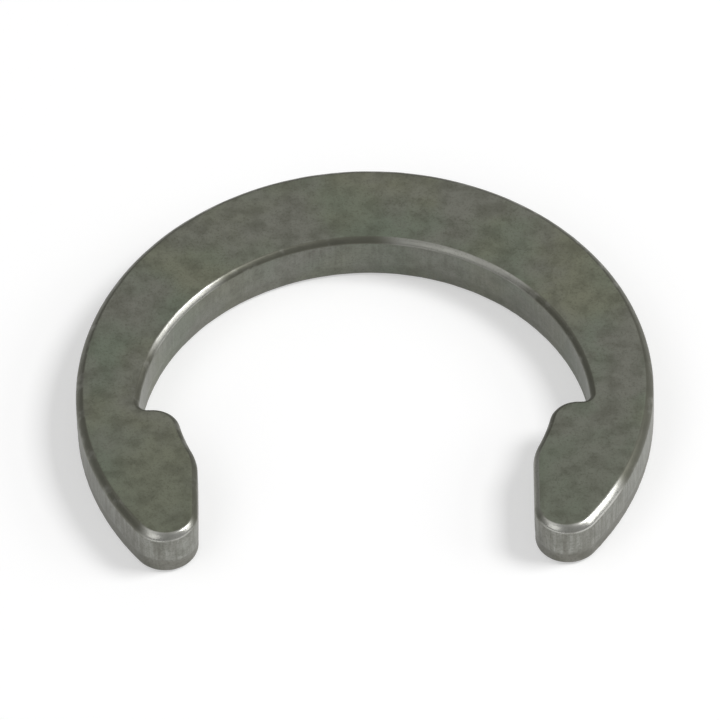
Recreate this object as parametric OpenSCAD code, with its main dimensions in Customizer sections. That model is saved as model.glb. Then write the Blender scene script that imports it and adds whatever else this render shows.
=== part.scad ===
// Crescent-form retaining ring, punched from thick flat steel and tumbled.
// It snaps sideways into a groove cut round a shaft. The ring lies flat on
// the XY plane. The shaft runs along the Z axis, and the open mouth points
// towards -Y. All sizes are in millimetres.

/* [Blank] */
// Thickness of the steel
thick = 3.6; // [2:0.1:5]
// Radius of the tumbled rounding along every rim
edge_r = 0.4; // [0.2:0.05:0.6]

/* [Crescent] */
// Diameter of the groove floor, which the back and both lugs touch
seat_d = 25; // [18:0.5:40]
// Radial width of the crescent at its back
back_w = 6.4; // [4.5:0.1:8]
// Width of the crescent at its sides, next to the shoulders
side_w = 4.1; // [3:0.1:5.5]

/* [Lugs] */
// Distance from the shaft's axis down to the shoulders
shoulder_drop = 1.5; // [1:0.1:3]
// Depth of each shoulder, from the relief behind it in to the seat
shoulder_w = 2.45; // [2:0.05:4]
// Flat left on each shoulder between its rounded corner and its fillet
shoulder_land = 0.35; // [0.2:0.05:0.7]
// Radius of the fillet between each shoulder and the relief
root_r = 0.5; // [0.4:0.05:1]
// How far each lug reaches in past the groove floor to hold the shaft
grip = 1.5; // [0.6:0.1:2]
// Radius of the heel between the seat and the flat side of each lug
heel_r = 4; // [2:0.5:6]
// Radius of the full round at the end of each lug
nose_r = 2.2; // [1.5:0.1:2.6]

/* [Hidden] */

// Roundness of the circles
$fn = 96;

// A corner round is set out from its walls by this share of its radius, so
// that it crosses them at a slight angle
snug = 0.998;
// Height of the centre of each rim's rounding above the face it rolls onto
edge_z = 0.97*edge_r;
// How far a cutter stands past both faces
over = 1;

// Length of the other leg of a right triangle, from the longest side
function leg(longest, side) = sqrt(longest*longest - side*side);

// Vector one unit long, along v
function direction(v) = v/norm(v);

// Centre, on the Y axis, of the circle through [0, top] and [x, y]
function centre_y(top, x, y) = (top*top - x*x - y*y)/(2*(top - y));

// Seat circle, and where the shoulders meet it
seat_r = seat_d/2;
shoulder_y = -shoulder_drop;
seat_x = leg(seat_r, shoulder_y);

// Relief circle: it touches the seat circle at the back of the ring
relief_y = centre_y(seat_r, seat_x + shoulder_w, shoulder_y);
relief_r = seat_r - relief_y;

// Outer circle: it leaves the widths asked for at the back and the sides
back_y = seat_r + back_w;
outer_y = centre_y(back_y, seat_x + shoulder_w + side_w, shoulder_y);
outer_r = back_y - outer_y;

// Half width of the mouth, and a length that is past the whole ring
mouth_x = seat_r - grip;
reach = 3*outer_r;

// Centre of the fillet at the root of the right shoulder
root_y = shoulder_y + root_r*snug;
root_c = [leg(relief_r - root_r*snug, root_y - relief_y), root_y];

// Radius and centre of the round that runs from the land to the seat
round_x = root_c[0] - shoulder_land;
round_r = (round_x*round_x - seat_x*seat_x)/(2*(seat_r + shoulder_y));
round_y = shoulder_y - round_r*snug;
round_c = [leg(seat_r + round_r*snug, round_y), round_y];

// Centre of the heel, which rides over the shaft as the ring snaps on
heel_x = mouth_x + heel_r*snug;
heel_c = [heel_x, -leg(seat_r + heel_r*snug, heel_x)];

// Centre of the full round that ends the right lug
nose_x = mouth_x + nose_r*snug;
nose_c = [nose_x, outer_y - leg(outer_r - nose_r*snug, nose_x)];

// Half section of solid metal that reaches r from its axis, with round rims
module solid_section(r) {
  intersection() {
    square([r, thick]);
    union() {
      square([r - edge_r, thick]);
      translate([0, edge_z])
        square([r, thick - 2*edge_z]);
      for (z = [edge_z, thick - edge_z])
        translate([r - edge_r, z])
          circle(edge_r);
    }
  }
}

// Half section of a cutter that leaves a wall at r, with round rims
module cutter_section(r) {
  difference() {
    translate([0, -over])
      square([r + edge_r, thick + 2*over]);
    translate([r, edge_z])
      square([2*edge_r, thick - 2*edge_z]);
    for (z = [edge_z, thick - edge_z])
      translate([r + edge_r, z])
        circle(edge_r);
  }
}

// Disc with rounded rims
module round_disc(r) {
  rotate_extrude()
    solid_section(r);
}

// Round cutter that flares out over both rims
module round_cutter(r) {
  rotate_extrude()
    cutter_section(r);
}

// Straight cutter with one wall on the plane x = 0, reaching to -X
module wall_cutter() {
  translate([-reach, reach/2, 0])
    rotate([90, 0, 0])
      linear_extrude(reach)
        cutter_section(reach);
}

// Block past both faces that fills all the plane below y
module below(y) {
  translate([-reach, y - 2*reach, -over])
    cube([2*reach, 2*reach, thick + 2*over]);
}

// Block past both faces, from its corner c along the sides u and v
module wedge(c, u, v) {
  translate([c[0], c[1], -over])
    linear_extrude(thick + 2*over)
      polygon([[0, 0], u, u + v, v]);
}

// What is drawn for the right lug, and the same for the left one
module both_lugs() {
  children();
  mirror([1, 0, 0])
    children();
}

// Waste outside the corner of radius r at c, between the sides u and v
module corner_waste(c, r, u, v) {
  difference() {
    wedge(c, u, v);
    translate([c[0], c[1], 0])
      round_disc(r);
  }
}

// Metal that a fillet of radius r at c leaves in the corner of a cutter
module fillet_metal(c, r, u, v) {
  difference() {
    wedge(c, u, v);
    translate([c[0], c[1], 0])
      round_cutter(r);
  }
}

// Relief behind the shoulders, with a fillet at the root of each shoulder
module relief() {
  size = 2*(root_r + edge_r);
  outward = direction(root_c - [0, relief_y]);
  difference() {
    intersection() {
      translate([0, relief_y, 0])
        round_cutter(relief_r);
      translate([0, shoulder_y, 0])
        rotate([0, 0, -90])
          wall_cutter();
    }
    both_lugs()
      fillet_metal(root_c, root_r, [0, -size], outward*size);
  }
}

// Seat of the lugs on the groove floor
module seat() {
  intersection() {
    round_cutter(seat_r);
    below(0);
  }
}

// Mouth with parallel sides between the lugs
module mouth() {
  intersection() {
    translate([mouth_x, 0, 0])
      wall_cutter();
    mirror([1, 0, 0])
      translate([mouth_x, 0, 0])
        wall_cutter();
    below(shoulder_y);
  }
}

// Waste outside the round that runs from each shoulder to the seat
module shoulder_waste() {
  size = 1.5*round_r;
  corner_waste(round_c, round_r, [0, size], -direction(round_c)*size);
}

// Waste outside the heel that runs from the seat to the side of each lug
module heel_waste() {
  size = 1.2*heel_r;
  corner_waste(heel_c, heel_r, -direction(heel_c)*size, [-size, 0]);
}

// Waste outside the full round at the end of each lug
module nose_waste() {
  outward = direction(nose_c - [0, outer_y]);
  corner_waste(nose_c, nose_r, [-nose_x, 0], outward*outer_r);
}

// The ring: a crescent that narrows to its sides and swells into two lugs
module retaining_ring() {
  color([0.39, 0.40, 0.36])
    difference() {
      translate([0, outer_y, 0])
        round_disc(outer_r);
      relief();
      seat();
      mouth();
      both_lugs() {
        shoulder_waste();
        heel_waste();
        nose_waste();
      }
    }
}

retaining_ring();
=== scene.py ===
"""Looks of a crescent retaining ring: phosphated spring steel, punched and tumbled.

The ring lies flat on a pale floor, with its mouth towards the camera. Lengths on
the ring are in millimetres here and become metres where they go into Blender.
"""

import math

import bpy
import numpy as np
from mathutils import Matrix, Vector, noise


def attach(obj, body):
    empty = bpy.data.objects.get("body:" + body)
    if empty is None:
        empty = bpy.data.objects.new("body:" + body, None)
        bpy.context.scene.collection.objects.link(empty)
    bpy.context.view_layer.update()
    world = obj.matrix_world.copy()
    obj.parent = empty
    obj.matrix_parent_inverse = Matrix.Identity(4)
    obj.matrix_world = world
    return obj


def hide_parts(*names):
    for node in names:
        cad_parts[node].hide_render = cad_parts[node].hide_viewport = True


MM = 0.001
NODE = "retaining_ring"
SURFACE = "retaining_ring_surface"

# The ring's driving sizes, as the solid has them
THICK = 3.6
SEAT_D = 25.0
BACK_W = 6.4
SIDE_W = 4.1
SHOULDER_DROP = 1.5
SHOULDER_W = 2.45
SHOULDER_LAND = 0.35
ROOT_R = 0.5
GRIP = 1.5
HEEL_R = 4.0
NOSE_R = 2.2

# The mesh: rungs from the back to each nose, rows across a face, and rows over
# a rim and a wall
RUNGS = 280
FACE_ROWS = 14
RIM_ROWS = 8
WALL_ROWS = 16
OUTLINE_POINTS = 4 * RUNGS + 2 * FACE_ROWS
# Share of the nose's arc that is the last rung, and the length over which the
# rungs bend to it
NOSE_SHARE = 0.5
NOSE_BLEND = 2.5

# Radius of the upper rim outside and inside, and of the lower rim
OUTER_EDGE_R = 0.55
INNER_EDGE_R = 0.42
LOWER_EDGE_R = 0.30
# How far tumbling has flattened the middle of a rounded rim, as a share of its radius
RIM_FLAT = 0.08

# The punched wall: height of the line under which the metal broke away, how far
# the line wanders, its teeth as a share of that, and how soft the step is
BREAK_Z = 1.25
BREAK_WANDER = 0.35
BREAK_TEETH = 0.3
BREAK_SOFT = 0.22
# How far the broken metal stands back, and how uneven that is, as a share of it
BREAK_DEPTH = 0.03
BREAK_UNEVEN = 0.5
# Depth of the unevenness that tumbling leaves on the rims, the walls and the
# faces, and the rims' small nicks as a share of the rims' depth
RIM_DEPTH = 0.022
NICK_SHARE = 0.4
WALL_DEPTH = 0.012
FACE_DEPTH = 0.006
# Noise in the shape: its scale to the millimetre, its seed, and for some an
# extra scale along the height
LINE_NOISE = (0.45, 7.0)
TEETH_NOISE = (2.3, 3.0)
BREAK_NOISE = (2.6, 5.0, 1.5)
RIM_NOISE = (0.8, 1.0)
NICK_NOISE = (3.1, 9.0)
WALL_NOISE = (0.9, 2.0, 0.6)
FACE_NOISE = (0.35, 4.0)
# How far that noise swings to each side of its middle
NOISE_GAIN = 0.62

# Places where the upper rim is rubbed bright: middle, reach and strength
RUBBED = {
    "right_lug": ((15.3, -11.0), 3.6, 1.0),
    "right_mouth": ((11.0, -8.5), 3.6, 0.42),
    "right_nose": ((12.0, -13.3), 2.4, 1.0),
    "left_nose_outside": ((-14.0, -13.4), 2.3, 1.0),
    "left_nose_inside": ((-11.6, -13.1), 2.4, 1.0),
    "left_inside": ((-12.2, 6.7), 4.6, 0.66),
    "right_inside": ((6.4, 10.6), 6.0, 0.44),
}
RUB_SOFT = 2.0

# Colours, in linear light
PHOSPHATE_OLIVE = (0.189, 0.194, 0.137, 1.0)
PHOSPHATE_GREEN = (0.158, 0.184, 0.137, 1.0)
PHOSPHATE_GREY = (0.186, 0.188, 0.157, 1.0)
PHOSPHATE_LUG = (0.154, 0.170, 0.126, 1.0)
OIL_DARK = (0.070, 0.070, 0.048, 1.0)
SHEAR_GREY = (0.350, 0.355, 0.325, 1.0)
BREAK_GREY = (0.225, 0.222, 0.196, 1.0)
# Rim colour darker than the face: a painted dark reflection along the rims
RIM_PAINTED_DARK = (0.120, 0.120, 0.094, 1.0)
WORN_STEEL = (0.540, 0.540, 0.505, 1.0)
FLOOR_WHITE = (0.66, 0.66, 0.66, 1.0)
WHITE = (1.0, 1.0, 1.0, 1.0)

# Noise in the finish: its scale to the millimetre, its detail and its roughness
GREEN_NOISE = (0.11, 2.0, 0.5)
GREY_NOISE = (0.19, 3.0, 0.5)
CRYSTAL_NOISE = (6.5, 4.0, 0.65)
PATCH_NOISE = (0.9, 4.0, 0.6)
STREAK_NOISE = (3.4, 4.0, 0.62)
SPECK_NOISE = (0.8, 3.0, 0.5)
# Scale of the streaks on each axis, which draws them out down the walls
STREAK_SCALE = (1.0, 1.0, 0.08)

# Where each mark begins and where it is full, in the noise or the value behind it
GREEN_RANGE = (0.40, 0.62)
GREY_RANGE = (0.38, 0.66)
SHEAR_RANGE = (0.30, 0.72)
PATCH_OIL_RANGE = (0.62, 0.30)
CRYSTAL_OIL_RANGE = (0.55, 0.28)
SPECK_RANGE = (0.52, 0.68)
RUB_RANGE = (0.25, 0.50)
EDGE_RANGE = (0.04, 0.45)
WALL_RANGE = (0.75, 0.15)
# The same for what grows from the back of the ring to its lugs, in the ring's Y
LUG_TINT_Y = (0.0, -10.0)
SCUFF_Y = (6.0, -12.0)

# How much of each mark shows at its beginning and where it is full
LUG_TINT = (0.0, 0.5)
SCUFF = (0.30, 1.0)
PATCH_OIL = (0.0, 0.42)
CRYSTAL_OIL = (0.0, 0.40)
SPECK = (0.0, 0.20)
RUB = (0.60, 1.0)
# How much of the painted dark reflection shows on the rims
EDGE_PAINTED_DARK = 0.92

# Roughness: from an oiled patch to a dry one, and what other marks add to it
PATCH_ROUGH_RANGE = (0.30, 0.70)
PATCH_ROUGH = (0.42, 0.52)
ADDED_ROUGH = {"crystal": 0.06, "wall": -0.08, "edge": -0.06, "worn": -0.16}
# How metallic the finish is everywhere, and what the barest mark adds to that
METAL_LEAST = 0.25
ADDED_METAL = {"scuffed_wall": 0.55, "edge": 0.35, "worn": 0.70}
# Fine relief: its strength, its depth, and the weight of patches and streaks in it
RELIEF_STRENGTH = 0.35
RELIEF_DEPTH = 0.01
PATCH_RELIEF = 0.5
STREAK_RELIEF = 0.8
COAT_IOR = 1.5

# The camera, from the photograph: the picture is IMAGE_PX square, and the
# frame's origin falls on ORIGIN_PX at PX_PER_MM. Angles are in degrees, the lens
# and the sensor in millimetres, and the clipping distances in metres.
IMAGE_PX = 720
ORIGIN_PX = (365.6, 420.2)
PX_PER_MM = 15.178
CAMERA_ELEVATION = 49.85
CAMERA_TURN = -0.90
CAMERA_ROLL = 1.83
LENS = 1000.0
SENSOR = 36.0
CLIP_START = 0.1
CLIP_END = 10.0

# The stage, in metres
FLOOR_SIZE = 6.0
BACKDROP_RADIUS = 2.9
BACKDROP_HEIGHT = 0.25
BACKDROP_STEPS = 96

# Light: what the floor adds where it is seen directly, the even sky, and each
# lamp's azimuth, elevation, size in metres and level
FLOOR_LIFT = 0.42
SKY_LEVEL = 0.24
LAMP_DISTANCE = 1.4
LAMPS = {
    "lamp_right": (2.0, 52.0, (0.5, 0.5), 0.55),
    "lamp_low_right": (-3.0, 28.0, (0.7, 0.4), 0.16),
    "lamp_front_left": (-134.0, 35.0, (0.8, 0.8), 0.14),
    "lamp_left": (178.0, 58.0, (0.9, 0.9), 0.13),
}


# Outline of the ring


def leg(longest, side):
    """Other leg of a right triangle, from its longest side."""
    return math.sqrt(longest * longest - side * side)


def centre_y(top, x, y):
    """Centre, on the Y axis, of the circle through (0, top) and (x, y)."""
    return (top * top - x * x - y * y) / (2 * (top - y))


def bearing(start, end):
    """Direction from one point to another, in radians."""
    return math.atan2(end[1] - start[1], end[0] - start[0])


def arc(centre, radius, start, end, hollow=False):
    """A piece of outline: an arc, and whether the metal lies outside it."""
    return {
        "length": abs(end - start) * radius,
        "centre": centre,
        "radius": radius,
        "start": start,
        "end": end,
        "sign": -1.0 if hollow else 1.0,
    }


def line(start, end, normal):
    """A piece of outline: a straight line, and the way it faces."""
    return {"length": math.dist(start, end), "from": start, "to": end, "normal": normal}


def along(piece, share):
    """Point and outward normal at a share of a piece's length: x, y, nx, ny."""
    if "from" in piece:
        (x0, y0), (x1, y1) = piece["from"], piece["to"]
        return (x0 + (x1 - x0) * share, y0 + (y1 - y0) * share, *piece["normal"])
    angle = piece["start"] + (piece["end"] - piece["start"]) * share
    c, s = math.cos(angle), math.sin(angle)
    (x, y), r, sign = piece["centre"], piece["radius"], piece["sign"]
    return (x + r * c, y + r * s, sign * c, sign * s)


def sample(pieces, shares):
    """Points and normals at shares of the length of a chain of pieces."""
    ends = np.cumsum([p["length"] for p in pieces])
    rows = []
    for share in shares:
        at = share * ends[-1]
        i = min(int(np.searchsorted(ends, at)), len(pieces) - 1)
        begin = ends[i] - pieces[i]["length"]
        rows.append(along(pieces[i], min(1.0, (at - begin) / pieces[i]["length"])))
    return np.array(rows)


def main_circles():
    """Relief and outer circle: the height of each centre on the Y axis, and its radius."""
    seat_r = SEAT_D / 2
    shoulder_y = -SHOULDER_DROP
    seat_x = leg(seat_r, shoulder_y)
    relief_y = centre_y(seat_r, seat_x + SHOULDER_W, shoulder_y)
    relief_r = seat_r - relief_y
    back_y = seat_r + BACK_W
    outer_y = centre_y(back_y, seat_x + SHOULDER_W + SIDE_W, shoulder_y)
    return relief_y, relief_r, outer_y, back_y - outer_y


def right_rounds():
    """Centres of the fillet, the shoulder's round, the heel and the nose, and the round's radius."""
    seat_r = SEAT_D / 2
    shoulder_y = -SHOULDER_DROP
    seat_x = leg(seat_r, shoulder_y)
    mouth_x = seat_r - GRIP
    relief_y, relief_r, outer_y, outer_r = main_circles()
    root_y = shoulder_y + ROOT_R
    root = (leg(relief_r - ROOT_R, root_y - relief_y), root_y)
    round_x = root[0] - SHOULDER_LAND
    round_r = (round_x**2 - seat_x**2) / (2 * (seat_r + shoulder_y))
    round_c = (leg(seat_r + round_r, shoulder_y - round_r), shoulder_y - round_r)
    heel = (mouth_x + HEEL_R, -leg(seat_r + HEEL_R, mouth_x + HEEL_R))
    nose = (mouth_x + NOSE_R, outer_y - leg(outer_r - NOSE_R, mouth_x + NOSE_R))
    return root, round_c, heel, nose, round_r


def right_half():
    """Outer chain, nose rung and inner chain of the right half, from the back."""
    seat_r = SEAT_D / 2
    shoulder_y = -SHOULDER_DROP
    mouth_x = seat_r - GRIP
    relief_y, relief_r, outer_y, outer_r = main_circles()
    root, round_c, heel, nose, round_r = right_rounds()
    shaft, relief, disc = (0.0, 0.0), (0.0, relief_y), (0.0, outer_y)
    up, down, left = math.pi / 2, -math.pi / 2, math.pi
    nose_out = bearing(disc, nose)
    nose_in = -left
    half_rung = NOSE_SHARE * (nose_out - nose_in) / 2
    tip = (nose_out + nose_in) / 2

    outer = [
        arc(disc, outer_r, up, nose_out),
        arc(nose, NOSE_R, nose_out, tip + half_rung),
    ]
    rung = [arc(nose, NOSE_R, tip + half_rung, tip - half_rung)]
    inner = [
        arc(relief, relief_r, up, bearing(relief, root), hollow=True),
        arc(root, ROOT_R, bearing(relief, root), down, hollow=True),
        line((root[0], shoulder_y), (round_c[0], shoulder_y), (0.0, 1.0)),
        arc(round_c, round_r, up, bearing(round_c, shaft)),
        arc(shaft, seat_r, bearing(shaft, round_c), bearing(shaft, heel), hollow=True),
        arc(heel, HEEL_R, bearing(heel, shaft), left),
        line((mouth_x, heel[1]), (mouth_x, nose[1]), (-1.0, 0.0)),
        arc(nose, NOSE_R, nose_in, tip - half_rung),
    ]
    return outer, rung, inner


def paired_shares(outer, inner):
    """Shares of both chains' lengths for every rung, level with the shoulders."""
    shares = np.linspace(0.0, 1.0, RUNGS + 1)
    inner_length = sum(p["length"] for p in inner)
    outer_length = sum(p["length"] for p in outer)
    shoulder = inner[0]["length"] + inner[1]["length"]
    disc = outer[0]
    level = bearing(disc["centre"], inner[2]["to"])
    beside = (disc["start"] - level) * disc["radius"]
    pairs = [0.0, shoulder / inner_length, 1.0], [0.0, beside / outer_length, 1.0]
    return np.interp(shares, *pairs), shares


def mirrored(points):
    """The same points, normals and rims on the left side."""
    return points * np.array([-1.0, 1.0, -1.0, 1.0, 1.0])


def with_rim(points, radii):
    """Points and normals, each with the radius of its upper rim."""
    return np.column_stack([points, np.broadcast_to(radii, len(points))])


def outline():
    """The whole outline, clockwise from the middle of the back, seen from above."""
    outer, rung, inner = right_half()
    outer_shares, inner_shares = paired_shares(outer, inner)
    outside = with_rim(sample(outer, outer_shares), OUTER_EDGE_R)
    inside = with_rim(sample(inner, inner_shares), INNER_EDGE_R)
    radii = np.linspace(OUTER_EDGE_R, INNER_EDGE_R, FACE_ROWS + 1)
    tip = with_rim(sample(rung, np.linspace(0.0, 1.0, FACE_ROWS + 1)), radii)[1:-1]
    right = [outside, tip, inside[::-1]]
    left = [mirrored(inside)[1:], mirrored(tip)[::-1], mirrored(outside)[:0:-1]]
    return np.concatenate(right + left)


# The ring's mesh


def smooth(t):
    """0 below 0, 1 above 1, and a soft step between."""
    t = min(1.0, max(0.0, t))
    return t * t * (3.0 - 2.0 * t)


def grain(x, y, z, scale, seed, upright=1.0):
    """Soft noise from 0 to 1, with features 1/scale millimetres across, scaled again upright."""
    place = Vector((x * scale + seed, y * scale - seed, upright * z * scale))
    return min(1.0, max(0.0, 0.5 + NOISE_GAIN * noise.noise(place)))


def profile():
    """Rows from the upper face to the lower one: turn over a rim, drop down the wall, low or not."""
    turns = [math.pi / 2 * i / RIM_ROWS for i in range(RIM_ROWS + 1)]
    upper = [(turn, 0.0, False) for turn in turns]
    wall = [(None, i / WALL_ROWS, False) for i in range(1, WALL_ROWS)]
    lower = [(turn, 0.0, True) for turn in reversed(turns)]
    return upper + wall + lower


def section_point(row, upper_r):
    """Inset, height and rim share of a row, where the upper rim has this radius."""
    turn, drop, low = row
    if turn is None:
        high = THICK - upper_r
        return 0.0, high + (LOWER_EDGE_R - high) * drop, 0.0
    radius = LOWER_EDGE_R if low else upper_r
    rim = math.sin(2 * turn)
    reach = radius * (1.0 - RIM_FLAT * rim**2)
    rise = reach * math.cos(turn) - radius
    return radius - reach * math.sin(turn), -rise if low else THICK + rise, rim


def rubbed(x, y, height):
    """How far the rim is rubbed bright at a place, from 0 to 1."""
    if height < THICK / 2:
        return 0.0
    shares = []
    for middle, reach, strength in RUBBED.values():
        inside = reach - math.dist((x, y), middle)
        shares.append(strength * smooth(inside / RUB_SOFT))
    return max(shares)


def wall_vertex(x, y, nx, ny, inset, height, rim):
    """Place of a vertex on a rim or a wall, and how far the metal broke there."""
    line_z = BREAK_Z + BREAK_WANDER * (grain(x, y, 0.0, *LINE_NOISE) - 0.5)
    line_z += BREAK_TEETH * BREAK_WANDER * (grain(x, y, 0.0, *TEETH_NOISE) - 0.5)
    broken = smooth((line_z - height) / BREAK_SOFT)
    uneven = 1.0 - BREAK_UNEVEN / 2 + BREAK_UNEVEN * grain(x, y, height, *BREAK_NOISE)
    depth = BREAK_DEPTH * broken * uneven
    depth += RIM_DEPTH * rim * grain(x, y, height, *RIM_NOISE)
    depth += NICK_SHARE * RIM_DEPTH * rim * grain(x, y, height, *NICK_NOISE)
    depth += WALL_DEPTH * grain(x, y, height, *WALL_NOISE)
    inset += depth
    return (x - nx * inset, y - ny * inset, height), broken


def rung_index(rung, row):
    """Place in the outline of a point on it, or None for a point inside the face."""
    if row == FACE_ROWS:
        return rung % OUTLINE_POINTS
    if rung == RUNGS:
        return RUNGS + FACE_ROWS - row
    if row == 0:
        return 2 * RUNGS + FACE_ROWS - rung
    if rung == -RUNGS:
        return 3 * RUNGS + FACE_ROWS + row
    return None


def face_point(edge, rung, row):
    """Point inside a face, between the two ends of its rung."""
    across = row / FACE_ROWS
    start = edge[rung_index(rung, 0)]
    end = edge[rung_index(rung, FACE_ROWS)]
    side = RUNGS if rung > 0 else -RUNGS
    last_start = edge[rung_index(side, 0)]
    last_end = edge[rung_index(side, FACE_ROWS)]
    last = edge[rung_index(side, row)]
    bulge = last - (last_start + (last_end - last_start) * across)
    away = np.linalg.norm((start + end) / 2 - (last_start + last_end) / 2)
    return start + (end - start) * across + bulge * max(0.0, 1.0 - away / NOSE_BLEND)


def add_face(vertices, faces, first, up):
    """Fills one face of the ring, inside the outline's row that starts at first."""
    edge = np.array(vertices[first : first + OUTLINE_POINTS])
    index = {}
    for rung in range(-RUNGS, RUNGS + 1):
        for row in range(FACE_ROWS + 1):
            place = rung_index(rung, row)
            if place is not None:
                index[rung, row] = first + place
                continue
            x, y, z = face_point(edge, rung, row)
            dip = FACE_DEPTH * grain(x, y, 0.0, *FACE_NOISE) * math.sin(math.pi * row / FACE_ROWS)
            index[rung, row] = len(vertices)
            vertices.append((x, y, z - dip if up else z + dip))
    for rung in range(-RUNGS, RUNGS):
        for row in range(FACE_ROWS):
            quad = [(rung, row), (rung + 1, row), (rung + 1, row + 1), (rung, row + 1)]
            quad = [index[key] for key in quad]
            faces.append(quad if up else quad[::-1])


def add_walls(faces, rows):
    """Joins each row of the profile to the next one, all round the ring."""
    for row in range(rows - 1):
        above = row * OUTLINE_POINTS
        below = above + OUTLINE_POINTS
        for i in range(OUTLINE_POINTS):
            j = (i + 1) % OUTLINE_POINTS
            faces.append([below + j, below + i, above + i, above + j])


def ring_mesh():
    """The ring as one closed mesh, with its rims, broken band and rubbed places marked."""
    points = outline()
    rows = profile()
    vertices, rims, broken, rubs = [], [], [], []
    for row in rows:
        for x, y, nx, ny, upper_r in points:
            inset, height, rim = section_point(row, upper_r)
            place, broke = wall_vertex(x, y, nx, ny, inset, height, rim)
            vertices.append(place)
            rims.append(rim)
            broken.append(broke)
            rubs.append(rubbed(x, y, height))
    faces = []
    add_walls(faces, len(rows))
    add_face(vertices, faces, 0, up=True)
    add_face(vertices, faces, (len(rows) - 1) * OUTLINE_POINTS, up=False)
    inside = len(vertices) - len(rims)
    marks = {"rim": rims, "broken": broken, "rubbed": rubs}

    mesh = bpy.data.meshes.new(SURFACE)
    mesh.from_pydata([[c * MM for c in v] for v in vertices], [], faces)
    for name, values in marks.items():
        values += [0.0] * inside
        mesh.attributes.new(name, "FLOAT", "POINT").data.foreach_set("value", values)
    mesh.polygons.foreach_set("use_smooth", [True] * len(mesh.polygons))
    mesh.validate()
    mesh.update()
    return mesh


# Materials


class Nodes:
    """Short names for the nodes of one material or world."""

    def __init__(self, tree):
        self.tree = tree
        tree.nodes.clear()

    def add(self, kind, inputs=(), **settings):
        """A node with its settings and inputs: numbers, colours or sockets."""
        node = self.tree.nodes.new(kind)
        for name, value in settings.items():
            setattr(node, name, value)
        for key, value in dict(inputs).items():
            if isinstance(value, bpy.types.NodeSocket):
                self.tree.links.new(value, node.inputs[key])
            else:
                node.inputs[key].default_value = value
        return node

    def math(self, operation, a, b=0.0, clamp=False):
        """Result of a sum on one or two values."""
        return self.add("ShaderNodeMath", {0: a, 1: b}, operation=operation, use_clamp=clamp).outputs[0]

    def scaled(self, vector, scale):
        """A place, stretched by a scale on each axis."""
        return self.add("ShaderNodeMapping", {"Vector": vector, "Scale": scale}).outputs[0]

    def axes(self, vector):
        """The three parts of a vector."""
        return self.add("ShaderNodeSeparateXYZ", {0: vector}).outputs

    def noise(self, vector, scale, detail, roughness):
        """Soft noise, from 0 to 1."""
        inputs = {"Vector": vector, "Scale": scale, "Detail": detail, "Roughness": roughness}
        return self.add("ShaderNodeTexNoise", inputs).outputs[0]

    def ranged(self, value, low, high, new_low=0.0, new_high=1.0):
        """A value taken softly from one range to another."""
        inputs = {"Value": value, 1: low, 2: high, 3: new_low, 4: new_high}
        return self.add("ShaderNodeMapRange", inputs, interpolation_type="SMOOTHSTEP").outputs[0]

    def blend(self, share, a, b):
        """Two colours, mixed by a share."""
        return self.add("ShaderNodeMix", {0: share, 6: a, 7: b}, data_type="RGBA").outputs[2]

    def attribute(self, name):
        """A value that the mesh carries."""
        return self.add("ShaderNodeAttribute", attribute_name=name).outputs["Fac"]


def steel_marks(n):
    """What the steel's looks are made from, by name: places, noise and the mesh's marks."""
    place = n.scaled(n.add("ShaderNodeTexCoord").outputs["Object"], (1 / MM,) * 3)
    normal = n.add("ShaderNodeNewGeometry").outputs["Normal"]
    wall = n.ranged(n.math("ABSOLUTE", n.axes(normal)[2]), *WALL_RANGE)
    scuffed = n.ranged(n.axes(place)[1], *SCUFF_Y, *SCUFF)
    crystal = n.noise(place, *CRYSTAL_NOISE)
    edge = n.ranged(n.attribute("rim"), *EDGE_RANGE)
    specks = n.ranged(n.noise(place, *SPECK_NOISE), *SPECK_RANGE, *SPECK)
    rubs = n.math("MULTIPLY", n.attribute("rubbed"), n.ranged(crystal, *RUB_RANGE, *RUB))
    return {
        "place": place,
        "wall": wall,
        "scuffed_wall": n.math("MULTIPLY", wall, scuffed),
        "crystal": crystal,
        "patch": n.noise(place, *PATCH_NOISE),
        "streak": n.noise(n.scaled(place, STREAK_SCALE), *STREAK_NOISE),
        "broken": n.attribute("broken"),
        "edge": edge,
        "worn": n.math("MULTIPLY", edge, n.math("MAXIMUM", specks, rubs)),
    }


def wall_colour(n, marks):
    """Streaked grey of the sheared wall, and the darker grey of its broken band."""
    shear = n.blend(n.ranged(marks["streak"], *SHEAR_RANGE), BREAK_GREY, SHEAR_GREY)
    return n.blend(marks["broken"], shear, BREAK_GREY)


def steel_colour(n, marks):
    """Mottled phosphate, and what lies over it: scuffed walls, oil, rims darkened as a painted dark
    reflection, worn places.
    """
    place = marks["place"]
    layers = [
        (n.ranged(n.noise(place, *GREEN_NOISE), *GREEN_RANGE), PHOSPHATE_GREEN),
        (n.ranged(n.noise(place, *GREY_NOISE), *GREY_RANGE), PHOSPHATE_GREY),
        (n.ranged(n.axes(place)[1], *LUG_TINT_Y, *LUG_TINT), PHOSPHATE_LUG),
        (marks["scuffed_wall"], wall_colour(n, marks)),
        (n.ranged(marks["patch"], *PATCH_OIL_RANGE, *PATCH_OIL), OIL_DARK),
        (n.ranged(marks["crystal"], *CRYSTAL_OIL_RANGE, *CRYSTAL_OIL), OIL_DARK),
        # The rims darkened: a painted dark reflection
        (n.math("MULTIPLY", marks["edge"], EDGE_PAINTED_DARK), RIM_PAINTED_DARK),
        (marks["worn"], WORN_STEEL),
    ]
    colour = PHOSPHATE_OLIVE
    for share, over in layers:
        colour = n.blend(share, colour, over)
    return colour


def steel_roughness(n, marks):
    """Semi-matt, rougher on crystals and smoother on walls, rims and worn places."""
    rough = n.ranged(marks["patch"], *PATCH_ROUGH_RANGE, *PATCH_ROUGH)
    for name, change in ADDED_ROUGH.items():
        rough = n.math("ADD", rough, n.math("MULTIPLY", marks[name], change))
    return rough


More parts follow.
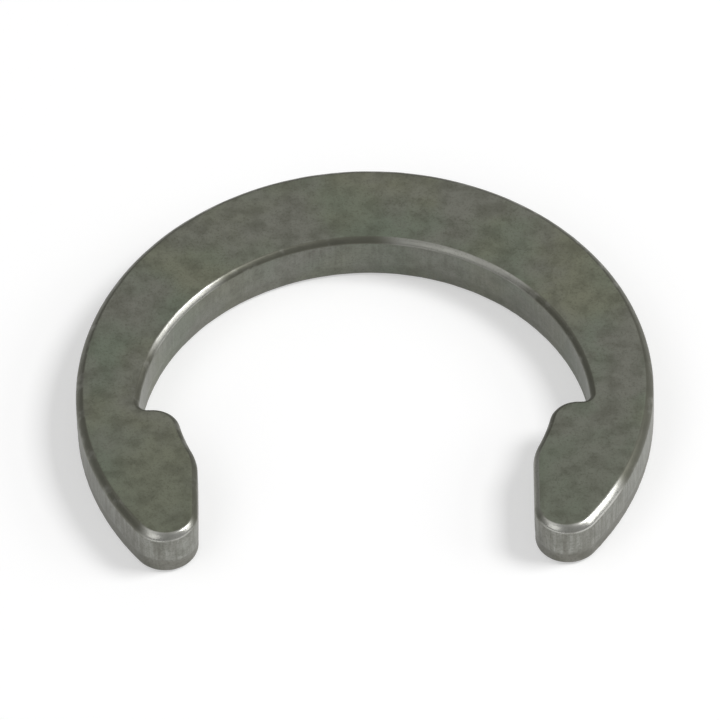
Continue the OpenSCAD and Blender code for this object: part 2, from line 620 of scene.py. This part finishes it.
def steel_metal(n, marks):
    """More metallic where the phosphate is scuffed or worn away."""
    bare = 0.0
    for name, change in ADDED_METAL.items():
        bare = n.math("MAXIMUM", bare, n.math("MULTIPLY", marks[name], change))
    return n.math("ADD", bare, METAL_LEAST)


def steel_relief(n, marks):
    """Fine relief of the crystals and patches, and of the streaks down the walls."""
    streaks = n.math("MULTIPLY", marks["streak"], marks["wall"])
    height = n.math("ADD", marks["crystal"], n.math("MULTIPLY", marks["patch"], PATCH_RELIEF))
    height = n.math("ADD", height, n.math("MULTIPLY", streaks, STREAK_RELIEF))
    inputs = {"Strength": RELIEF_STRENGTH, "Distance": RELIEF_DEPTH * MM, "Height": height}
    return n.add("ShaderNodeBump", inputs).outputs[0]


def phosphated_steel():
    """Dark phosphate on steel: mottled, oiled, and worn bright along the rims."""
    material = bpy.data.materials.new("phosphated_steel")
    material.use_nodes = True
    n = Nodes(material.node_tree)
    marks = steel_marks(n)
    looks = {
        "Base Color": steel_colour(n, marks),
        "Metallic": steel_metal(n, marks),
        "Roughness": steel_roughness(n, marks),
        "IOR": COAT_IOR,
        "Normal": steel_relief(n, marks),
    }
    shader = n.add("ShaderNodeBsdfPrincipled", looks)
    n.add("ShaderNodeOutputMaterial", {"Surface": shader.outputs[0]})
    return material


def seen_directly(n):
    """1 for rays that show the background itself: straight, in gloss or through glass."""
    path = n.add("ShaderNodeLightPath").outputs
    seen = n.math("ADD", path["Is Camera Ray"], path["Is Glossy Ray"], clamp=True)
    return n.math("ADD", seen, path["Is Transmission Ray"], clamp=True)


def floor_material():
    """Pale paper that shows as white and keeps the object's shadow."""
    material = bpy.data.materials.new("floor_paper")
    material.use_nodes = True
    n = Nodes(material.node_tree)
    paper = n.add("ShaderNodeBsdfDiffuse", {"Color": FLOOR_WHITE})
    lift = n.math("MULTIPLY", seen_directly(n), FLOOR_LIFT)
    glow = n.add("ShaderNodeEmission", {"Color": WHITE, "Strength": lift})
    both = n.add("ShaderNodeAddShader", {0: paper.outputs[0], 1: glow.outputs[0]})
    n.add("ShaderNodeOutputMaterial", {"Surface": both.outputs[0]})
    return material


# Floor, light and camera


def linked(name, data):
    """A new object in the scene."""
    thing = bpy.data.objects.new(name, data)
    bpy.context.scene.collection.objects.link(thing)
    return thing


def paper_mesh(name, vertices, faces):
    """A mesh of pale paper."""
    mesh = bpy.data.meshes.new(name)
    mesh.from_pydata(vertices, [], faces)
    mesh.materials.append(floor_material())
    return mesh


def make_floor():
    """A wide pale floor under the ring."""
    half = FLOOR_SIZE / 2
    corners = [(-half, -half, 0.0), (half, -half, 0.0), (half, half, 0.0), (-half, half, 0.0)]
    floor = linked("floor", paper_mesh("floor", corners, [(0, 1, 2, 3)]))


def make_backdrop():
    """A low white band far round the floor, behind the ring in level views."""
    steps = BACKDROP_STEPS
    turns = [2 * math.pi * i / steps for i in range(steps)]
    band = [(BACKDROP_RADIUS * math.cos(t), BACKDROP_RADIUS * math.sin(t)) for t in turns]
    vertices = [(x, y, z) for z in (0.0, BACKDROP_HEIGHT) for x, y in band]
    faces = [(i, (i + 1) % steps, (i + 1) % steps + steps, i + steps) for i in range(steps)]
    backdrop = linked("backdrop", paper_mesh("backdrop", vertices, faces))


def make_world():
    """Even dim light from all round."""
    world = bpy.data.worlds.new("studio")
    bpy.context.scene.world = world
    world.use_nodes = True
    n = Nodes(world.node_tree)
    light = n.add("ShaderNodeBackground", {"Color": WHITE, "Strength": SKY_LEVEL})
    n.add("ShaderNodeOutputWorld", {"Surface": light.outputs[0]})


def make_lamp(name, azimuth, elevation, size, level):
    """A soft lamp aimed at the ring. Its level is what it adds to a colour facing it."""
    a, e = math.radians(azimuth), math.radians(elevation)
    towards = Vector((math.cos(a) * math.cos(e), math.sin(a) * math.cos(e), math.sin(e)))
    data = bpy.data.lights.new(name, "AREA")
    data.shape = "RECTANGLE"
    data.size, data.size_y = size
    data.energy = level * (math.pi * LAMP_DISTANCE) ** 2
    lamp = linked(name, data)
    lamp.location = towards * LAMP_DISTANCE
    lamp.rotation_mode = "QUATERNION"
    lamp.rotation_quaternion = towards.to_track_quat("Z", "Y")


def camera_axes():
    """The camera's right, up and back directions."""
    e, a, roll = (math.radians(d) for d in (CAMERA_ELEVATION, CAMERA_TURN, CAMERA_ROLL))
    level = Vector((math.cos(a), -math.sin(a), 0.0))
    steep = Vector((math.sin(a) * math.sin(e), math.cos(a) * math.sin(e), math.cos(e)))
    right = level * math.cos(roll) - steep * math.sin(roll)
    up = level * math.sin(roll) + steep * math.cos(roll)
    return right, up, right.cross(up)


def make_camera():
    """The photograph's camera: long lens, from the front and above."""
    right, up, back = camera_axes()
    middle = IMAGE_PX / 2
    target = right * ((middle - ORIGIN_PX[0]) / PX_PER_MM * MM)
    target += up * ((ORIGIN_PX[1] - middle) / PX_PER_MM * MM)
    distance = LENS / SENSOR * IMAGE_PX / PX_PER_MM * MM

    data = bpy.data.cameras.new("camera")
    data.lens = LENS
    data.sensor_width = SENSOR
    data.clip_start = CLIP_START
    data.clip_end = CLIP_END
    camera = linked("camera", data)
    turn = Matrix((right, up, back)).transposed().to_4x4()
    camera.matrix_world = Matrix.Translation(target + back * distance) @ turn
    bpy.context.scene.camera = camera


def make_ring():
    """The ring's surface, in place of the plain solid."""
    ring = linked(SURFACE, ring_mesh())
    ring.data.materials.append(phosphated_steel())
    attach(ring, "root")
    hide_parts(NODE)


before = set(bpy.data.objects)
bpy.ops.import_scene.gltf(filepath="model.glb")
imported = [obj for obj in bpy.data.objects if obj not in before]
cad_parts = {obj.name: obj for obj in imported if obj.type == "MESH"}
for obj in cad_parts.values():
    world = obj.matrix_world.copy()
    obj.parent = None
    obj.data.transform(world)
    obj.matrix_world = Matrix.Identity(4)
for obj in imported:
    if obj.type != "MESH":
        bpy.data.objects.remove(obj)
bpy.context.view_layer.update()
bpy.context.scene.view_settings.view_transform = "Standard"
make_camera()
make_ring()
make_floor()
make_backdrop()
make_world()
for name, settings in LAMPS.items():
    make_lamp(name, *settings)
